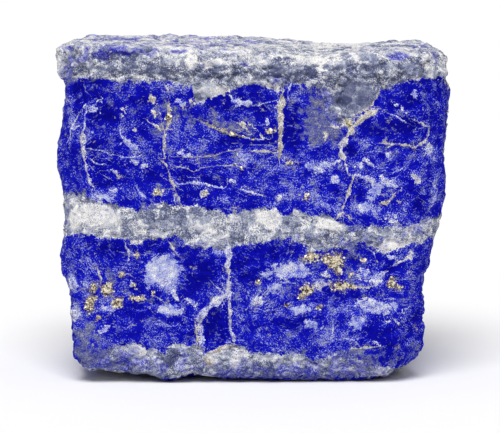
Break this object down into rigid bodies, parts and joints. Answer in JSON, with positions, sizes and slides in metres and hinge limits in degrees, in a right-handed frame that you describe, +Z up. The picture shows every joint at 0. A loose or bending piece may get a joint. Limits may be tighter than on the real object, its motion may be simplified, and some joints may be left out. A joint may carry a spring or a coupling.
{
  "type": "rough lapis lazuli",
  "caption": "Rough block of deep blue lapis lazuli, crossed by pale calcite bands and veins, with pyrite grains, standing on a small flat spot.",
  "frame": {"origin": "under the middle of the bounding box, in the plane of the flat spot that the stone rests on", "axes": "+Z up, the broad banded face looks towards -Y, and +X is to the right seen from that face"},
  "size_m": [0.0808, 0.051, 0.0687],
  "materials": {
    "stone": "rough broken lazurite, deep blue, with white to grey calcite bands and veins and brassy pyrite grains"
  },
  "bodies": {
    "root": {"stone": "stone"}
  },
  "joints": []
}
